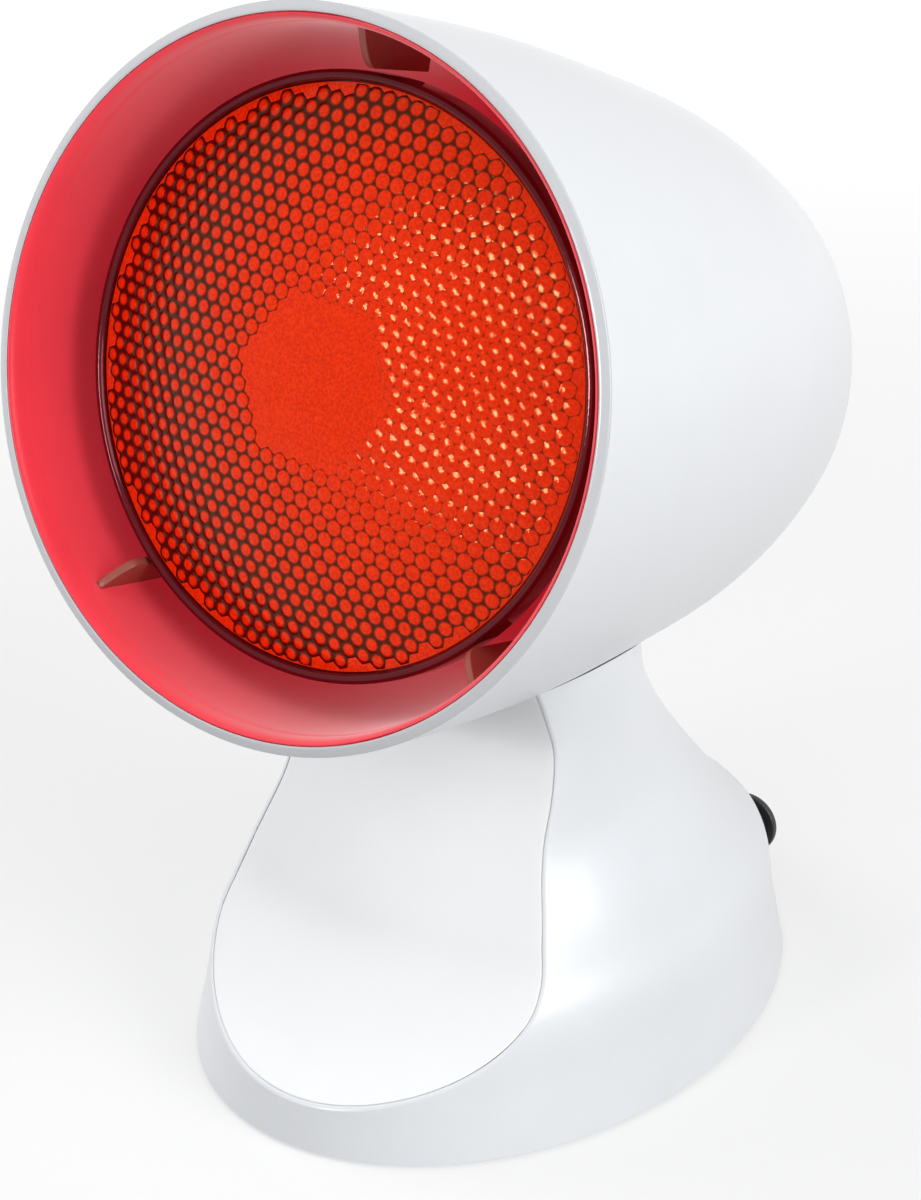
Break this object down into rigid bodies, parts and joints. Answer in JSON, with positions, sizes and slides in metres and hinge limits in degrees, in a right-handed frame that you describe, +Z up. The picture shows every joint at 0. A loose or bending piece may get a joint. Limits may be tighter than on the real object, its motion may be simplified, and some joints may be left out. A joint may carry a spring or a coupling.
{
  "type": "infrared heat therapy lamp",
  "caption": "Table heat lamp: a red reflector bulb in a tilting round white head, carried on a weighted oval stand with a curved front panel.",
  "frame": {"origin": "centre of the oval footprint, on the underside of the anti-slip pad, which is the table's surface", "axes": "+Z up, the lamp shines towards -Y, +X is the lamp's left seen from the front; the head lies in the X = 0 middle plane"},
  "size_m": [0.146, 0.1832, 0.2439],
  "materials": {
    "white_gloss": "smooth glossy white plastic",
    "white_panel": "smooth satin white plastic",
    "shade_red": "semi-gloss pink-red heat-proof plastic",
    "lens_red": "orange-red pressed glass with small round lenses",
    "glass_red": "dark ruby pressed glass",
    "clear_glass": "clear glass",
    "dark_plastic": "dark moulded plastic",
    "rubber": "matt anti-slip rubber",
    "steel": "zinc-plated steel",
    "brass": "plain brass",
    "ceramic": "unglazed white ceramic",
    "insulation": "light grey insulation"
  },
  "bodies": {
    "stand": {"stand_housing": "white_gloss", "front_panel": "white_panel", "bottom_cover": "dark_plastic", "ballast_plate": "steel", "anti_slip_pad": "rubber", "cover_screw_1": "steel", "cover_screw_2": "steel", "cover_screw_3": "steel", "cover_screw_4": "steel", "ballast_screw_1": "steel", "ballast_screw_2": "steel", "clamp_screw_1": "steel", "clamp_screw_2": "steel", "hinge_yoke": "steel", "yoke_screw_1": "steel", "yoke_screw_2": "steel", "hinge_pin": "steel", "hinge_washer_left": "steel", "hinge_washer_right": "steel", "hinge_nut": "steel", "friction_washer_left": "brass", "friction_washer_right": "brass", "index_spring": "steel", "switch_body": "dark_plastic", "cable_gland": "dark_plastic", "gland_nut": "dark_plastic", "cord_clamp": "dark_plastic", "terminal_block": "insulation", "stand_lead": "insulation"},
    "head": {"head_shell": "white_gloss", "rim_ring": "white_gloss", "inner_shade": "shade_red", "vent_cap": "white_gloss", "lamp_socket": "ceramic", "socket_sleeve": "brass", "socket_contact": "brass", "socket_bracket": "steel", "bracket_screw_1": "steel", "bracket_screw_2": "steel", "socket_screw_1": "steel", "socket_screw_2": "steel", "tilt_arm": "steel", "index_plate": "steel", "arm_screw_1": "steel", "arm_screw_2": "steel", "head_lead": "insulation"},
    "bulb_contact": {"bulb_tip": "dark_plastic"},
    "bulb": {"bulb_lens": "lens_red", "bulb_reflector": "glass_red", "screw_cap": "brass", "filament_stem": "clear_glass", "filament": "steel"},
    "switch_rocker": {"rocker": "dark_plastic"}
  },
  "joints": [
    {"name": "head_tilt", "type": "hinge", "parent": "stand", "child": "head", "pos_m": [0, 0.018, 0.0775], "axis": [-1, 0, 0], "range_deg": [0, 28]},
    {"name": "bulb_out", "type": "slide", "parent": "head", "child": "bulb_contact", "axis": [0, -0.9613, 0.2756], "range_m": [0, 0.0182]},
    {"name": "bulb_turn", "type": "hinge", "parent": "bulb_contact", "child": "bulb", "pos_m": [0, -0.074, 0.174], "axis": [0, -0.9613, 0.2756], "range_deg": [0, 1800]},
    {"name": "rocker_press", "type": "hinge", "parent": "stand", "child": "switch_rocker", "pos_m": [0, 0.0754, 0.015], "axis": [0, 0, 1], "range_deg": [0, 14]}
  ],
  "couplings": [
    {"joint": "bulb_out", "follows": "bulb_turn", "m_per_rad": 0.00057773}
  ]
}
